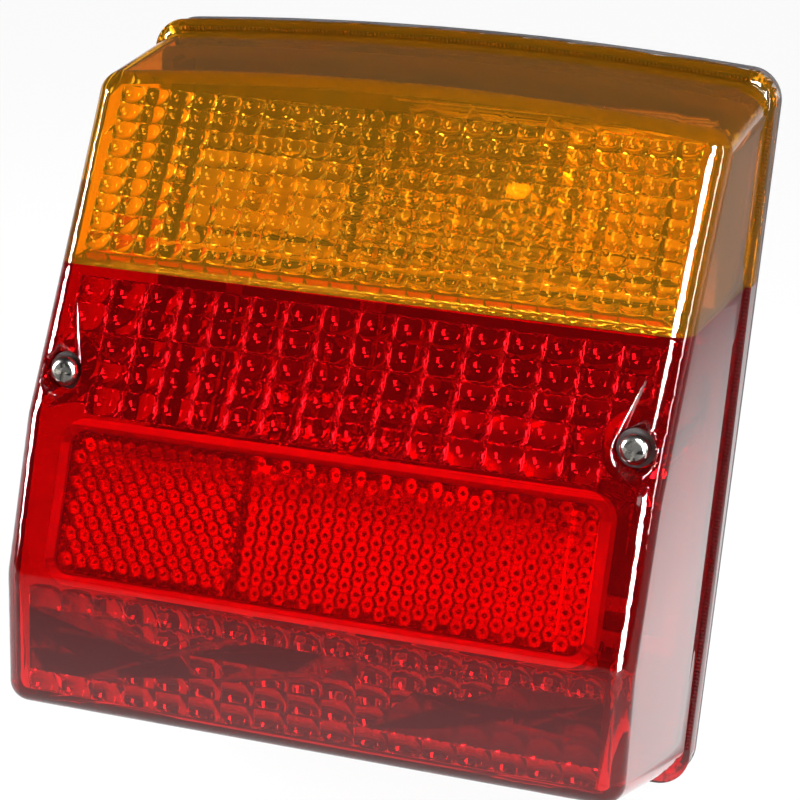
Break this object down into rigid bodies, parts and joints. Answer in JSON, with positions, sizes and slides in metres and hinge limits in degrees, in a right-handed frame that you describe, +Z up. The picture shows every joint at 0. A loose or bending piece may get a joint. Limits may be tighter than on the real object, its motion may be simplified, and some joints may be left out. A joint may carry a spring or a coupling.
{
  "type": "trailer tail light",
  "caption": "Wedge-faced combination tail light for a trailer: amber over red screwed lens on a black base, reflex reflector, bayonet bulbs in sprung holders.",
  "frame": {"origin": "centre of the outline on the flat mounting face, at the back of the base", "axes": "+Z up as mounted, the lens faces -Y, +Y points into the panel it is mounted on"},
  "size_m": [0.0978, 0.0795, 0.1132],
  "materials": {
    "black_plastic": "moulded black polypropylene, fine grain",
    "rubber_black": "soft moulded rubber",
    "amber_lens": "polished transparent amber acrylic with pillow optics",
    "red_lens": "polished transparent red acrylic with pillow optics",
    "red_prisms": "transparent red acrylic with corner prisms",
    "white_plastic": "moulded white polypropylene",
    "bright_aluminium": "bright rolled sheet",
    "plated_screw": "nickel plated steel",
    "zinc_steel": "zinc plated steel",
    "spring_steel": "spring steel",
    "brass": "rolled brass",
    "bulb_glass": "clear blown glass",
    "filament_wire": "tungsten and nickel wire",
    "nickel_cap": "nickel plated brass",
    "black_glass": "black glass insulator",
    "solder": "soft solder",
    "phenolic": "phenolic laminate"
  },
  "bodies": {
    "housing": {"base_housing": "black_plastic", "lens_gasket": "rubber_black", "mounting_stud_left": "zinc_steel", "mounting_stud_right": "zinc_steel", "stud_retainer_left": "spring_steel", "stud_retainer_right": "spring_steel", "cable_grommet": "rubber_black", "chamber_divider": "white_plastic", "indicator_reflector": "bright_aluminium", "indicator_holder": "zinc_steel", "stop_holder": "zinc_steel", "holder_rivets": "brass", "indicator_strip": "brass", "tail_strip": "brass", "stop_strip": "brass", "earth_strip": "brass", "terminal_screws": "plated_screw", "indicator_contact_springs": "spring_steel", "stop_contact_springs": "spring_steel"},
    "lens": {"lens_amber": "amber_lens", "lens_red": "red_lens", "reflex_reflector": "red_prisms", "reflex_backing": "white_plastic"},
    "seal_left": {"screw_seal_left": "rubber_black"},
    "screw_left": {"lens_screw_left": "plated_screw"},
    "seal_right": {"screw_seal_right": "rubber_black"},
    "screw_right": {"lens_screw_right": "plated_screw"},
    "indicator_carrier": {"indicator_contact_carrier": "phenolic", "indicator_contact_buttons": "brass"},
    "indicator_bulb": {"indicator_bulb_glass": "bulb_glass", "indicator_bulb_filament": "filament_wire", "indicator_bulb_cap": "nickel_cap", "indicator_bulb_insulator": "black_glass", "indicator_bulb_contacts": "solder"},
    "stop_carrier": {"stop_contact_carrier": "phenolic", "stop_contact_buttons": "brass"},
    "stop_bulb": {"stop_bulb_glass": "bulb_glass", "stop_bulb_filament": "filament_wire", "stop_bulb_cap": "nickel_cap", "stop_bulb_insulator": "black_glass", "stop_bulb_contacts": "solder"}
  },
  "joints": [
    {"name": "lens_lift", "type": "slide", "parent": "housing", "child": "lens", "axis": [0, -1, 0], "range_m": [0, 0.06]},
    {"name": "left_screw_back_out", "type": "slide", "parent": "lens", "child": "seal_left", "axis": [0, -1, 0], "range_m": [0, 0.0077]},
    {"name": "left_screw_turn", "type": "hinge", "parent": "seal_left", "child": "screw_left", "pos_m": [-0.0412, -0.05, 0.0072], "axis": [0, -1, 0], "range_deg": [0, 2525]},
    {"name": "right_screw_back_out", "type": "slide", "parent": "lens", "child": "seal_right", "axis": [0, -1, 0], "range_m": [0, 0.0077]},
    {"name": "right_screw_turn", "type": "hinge", "parent": "seal_right", "child": "screw_right", "pos_m": [0.0412, -0.05, 0.0072], "axis": [0, -1, 0], "range_deg": [0, 2525]},
    {"name": "indicator_bulb_push", "type": "slide", "parent": "housing", "child": "indicator_carrier", "axis": [-1, 0, 0], "range_m": [0, 0.002], "stiffness_N_per_m": 3000, "springref_m": -0.003, "deforming": ["indicator_contact_springs"]},
    {"name": "indicator_bulb_twist", "type": "hinge", "parent": "indicator_carrier", "child": "indicator_bulb", "pos_m": [-0.0255, -0.019, 0.0312], "axis": [1, 0, 0], "range_deg": [0, 20]},
    {"name": "stop_bulb_push", "type": "slide", "parent": "housing", "child": "stop_carrier", "axis": [1, 0, 0], "range_m": [0, 0.002], "stiffness_N_per_m": 3000, "springref_m": -0.003, "deforming": ["stop_contact_springs"]},
    {"name": "stop_bulb_twist", "type": "hinge", "parent": "stop_carrier", "child": "stop_bulb", "pos_m": [0.0255, -0.028, -0.003], "axis": [-1, 0, 0], "range_deg": [0, 20]}
  ],
  "couplings": [
    {"joint": "left_screw_turn", "follows": "left_screw_back_out", "rad_per_m": 5712},
    {"joint": "right_screw_turn", "follows": "right_screw_back_out", "rad_per_m": 5712}
  ]
}
